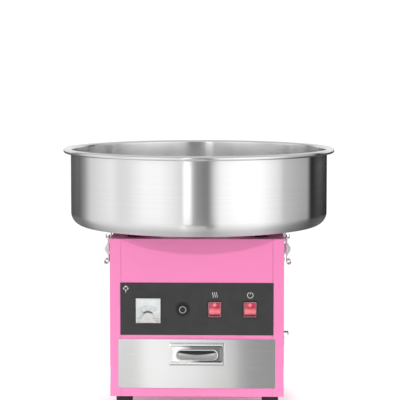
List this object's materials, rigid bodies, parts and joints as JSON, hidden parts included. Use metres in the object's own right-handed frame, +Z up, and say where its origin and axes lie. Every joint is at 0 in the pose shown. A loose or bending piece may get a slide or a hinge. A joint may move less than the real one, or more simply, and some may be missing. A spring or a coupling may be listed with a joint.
{
  "type": "cotton candy machine",
  "caption": "Countertop cotton candy machine: boxy cabinet with drawer and control panel under a wide shallow steel bowl with a central spinner head.",
  "frame": {"origin": "on the spinner axis, at the floor under the rubber feet", "axes": "+Z up along the spinner axis, -Y towards the control panel and drawer, +X to the right seen from the front"},
  "size_m": [0.52, 0.52, 0.49],
  "materials": {
    "pink_paint": "smooth gloss pink powder coat",
    "zinc_steel": "bright zinc-plated sheet and fasteners",
    "polished_steel": "polished stainless steel",
    "rivet_aluminium": "plain aluminium rivets",
    "bowl_steel": "bright spun stainless steel",
    "drawer_steel": "brushed stainless steel sheet",
    "black_rubber": "matt black rubber",
    "panel_print": "matt charcoal printed overlay",
    "black_plastic": "moulded black plastic",
    "dial_white": "printed white dial",
    "clear_cover": "clear moulded cover",
    "needle_black": "black painted needle",
    "red_lens": "translucent red lens",
    "motor_paint": "grey motor enamel",
    "cast_aluminium": "turned cast aluminium",
    "core_steel": "stacked steel laminations",
    "phenolic": "brown phenolic moulding",
    "ring_brass": "turned brass",
    "carbon": "pressed carbon",
    "nylon_white": "natural nylon",
    "element_steel": "heat-tinted sheathed element"
  },
  "bodies": {
    "root": {"back_panel": "pink_paint", "base_pan": "pink_paint", "blind_rivets": "rivet_aluminium", "bowl": "bowl_steel", "bowl_keepers": "polished_steel", "bowl_pads": "black_rubber", "bridge_rectifier": "black_plastic", "brush_holder": "phenolic", "cable_gland": "black_plastic", "carbon_brushes": "carbon", "control_panel": "panel_print", "drawer_rails": "zinc_steel", "foot_bolts": "zinc_steel", "front_panel": "pink_paint", "fuse_holder": "black_plastic", "latch_bases": "polished_steel", "left_side_panel": "pink_paint", "meter_case": "black_plastic", "meter_dial": "dial_white", "meter_window": "clear_cover", "motor_bearings": "polished_steel", "motor_bolts": "zinc_steel", "motor_deck": "zinc_steel", "motor_end_bell": "cast_aluminium", "motor_housing": "motor_paint", "motor_stator": "core_steel", "panel_screws": "zinc_steel", "right_side_panel": "pink_paint", "rubber_feet": "black_rubber", "shaft_guard": "bowl_steel", "side_hook": "polished_steel", "switch_housings": "black_plastic", "terminal_block": "nylon_white", "top_plate": "pink_paint"},
    "spinner": {"motor_shaft": "polished_steel", "rotor_core": "core_steel", "cooling_fan": "black_plastic", "slip_rings": "ring_brass", "slip_ring_insulator": "phenolic", "head_base": "cast_aluminium", "heating_element": "element_steel", "head_slotted_band": "cast_aluminium", "head_cover": "cast_aluminium", "head_screws": "polished_steel", "head_nut": "zinc_steel"},
    "drawer": {"drawer_box": "zinc_steel", "drawer_front": "drawer_steel", "handle_cup": "polished_steel"},
    "heat_rocker": {"heat_rocker": "red_lens"},
    "power_rocker": {"power_rocker": "red_lens"},
    "meter_needle": {"meter_needle": "needle_black"},
    "fuse_cap": {"fuse_cap": "black_plastic"},
    "lever_right_front": {"latch_lever_right_front": "polished_steel"},
    "bail_right_front": {"latch_bail_right_front": "polished_steel"},
    "lever_right_rear": {"latch_lever_right_rear": "polished_steel"},
    "bail_right_rear": {"latch_bail_right_rear": "polished_steel"},
    "lever_left_front": {"latch_lever_left_front": "polished_steel"},
    "bail_left_front": {"latch_bail_left_front": "polished_steel"},
    "lever_left_rear": {"latch_lever_left_rear": "polished_steel"},
    "bail_left_rear": {"latch_bail_left_rear": "polished_steel"}
  },
  "joints": [
    {"name": "spinner_turn", "type": "hinge", "parent": "root", "child": "spinner", "pos_m": [0, 0, 0.372], "axis": [0, 0, 1], "continuous": true},
    {"name": "drawer_slide", "type": "slide", "parent": "root", "child": "drawer", "axis": [0, -1, 0], "range_m": [0, 0.18]},
    {"name": "heat_rocker_tilt", "type": "hinge", "parent": "root", "child": "heat_rocker", "pos_m": [0.0329, -0.157, 0.2021], "axis": [1, 0, 0], "range_deg": [0, 20]},
    {"name": "power_rocker_tilt", "type": "hinge", "parent": "root", "child": "power_rocker", "pos_m": [0.0977, -0.157, 0.2021], "axis": [1, 0, 0], "range_deg": [0, 20]},
    {"name": "meter_needle_swing", "type": "hinge", "parent": "root", "child": "meter_needle", "pos_m": [-0.0894, -0.166, 0.1877], "axis": [0, 1, 0], "range_deg": [0, 90], "stiffness_Nm_per_rad": 0.0001},
    {"name": "fuse_cap_turn", "type": "hinge", "parent": "root", "child": "fuse_cap", "pos_m": [-0.0258, -0.165, 0.2024], "axis": [0, 1, 0], "range_deg": [0, 45]},
    {"name": "lever_right_front_swing", "type": "hinge", "parent": "root", "child": "lever_right_front", "pos_m": [0.166, -0.1, 0.311], "axis": [0, -1, 0], "range_deg": [0, 120]},
    {"name": "bail_right_front_swing", "type": "hinge", "parent": "lever_right_front", "child": "bail_right_front", "pos_m": [0.166, -0.1, 0.304], "axis": [0, -1, 0], "range_deg": [-104.4, 0]},
    {"name": "lever_right_rear_swing", "type": "hinge", "parent": "root", "child": "lever_right_rear", "pos_m": [0.166, 0.1, 0.311], "axis": [0, -1, 0], "range_deg": [0, 120]},
    {"name": "bail_right_rear_swing", "type": "hinge", "parent": "lever_right_rear", "child": "bail_right_rear", "pos_m": [0.166, 0.1, 0.304], "axis": [0, -1, 0], "range_deg": [-104.4, 0]},
    {"name": "lever_left_front_swing", "type": "hinge", "parent": "root", "child": "lever_left_front", "pos_m": [-0.166, -0.1, 0.311], "axis": [0, 1, 0], "range_deg": [0, 120]},
    {"name": "bail_left_front_swing", "type": "hinge", "parent": "lever_left_front", "child": "bail_left_front", "pos_m": [-0.166, -0.1, 0.304], "axis": [0, 1, 0], "range_deg": [-104.4, 0]},
    {"name": "lever_left_rear_swing", "type": "hinge", "parent": "root", "child": "lever_left_rear", "pos_m": [-0.166, 0.1, 0.311], "axis": [0, 1, 0], "range_deg": [0, 120]},
    {"name": "bail_left_rear_swing", "type": "hinge", "parent": "lever_left_rear", "child": "bail_left_rear", "pos_m": [-0.166, 0.1, 0.304], "axis": [0, 1, 0], "range_deg": [-104.4, 0]}
  ],
  "couplings": [
    {"joint": "bail_right_front_swing", "follows": "lever_right_front_swing", "ratio": -0.87},
    {"joint": "bail_right_rear_swing", "follows": "lever_right_rear_swing", "ratio": -0.87},
    {"joint": "bail_left_front_swing", "follows": "lever_left_front_swing", "ratio": -0.87},
    {"joint": "bail_left_rear_swing", "follows": "lever_left_rear_swing", "ratio": -0.87}
  ]
}
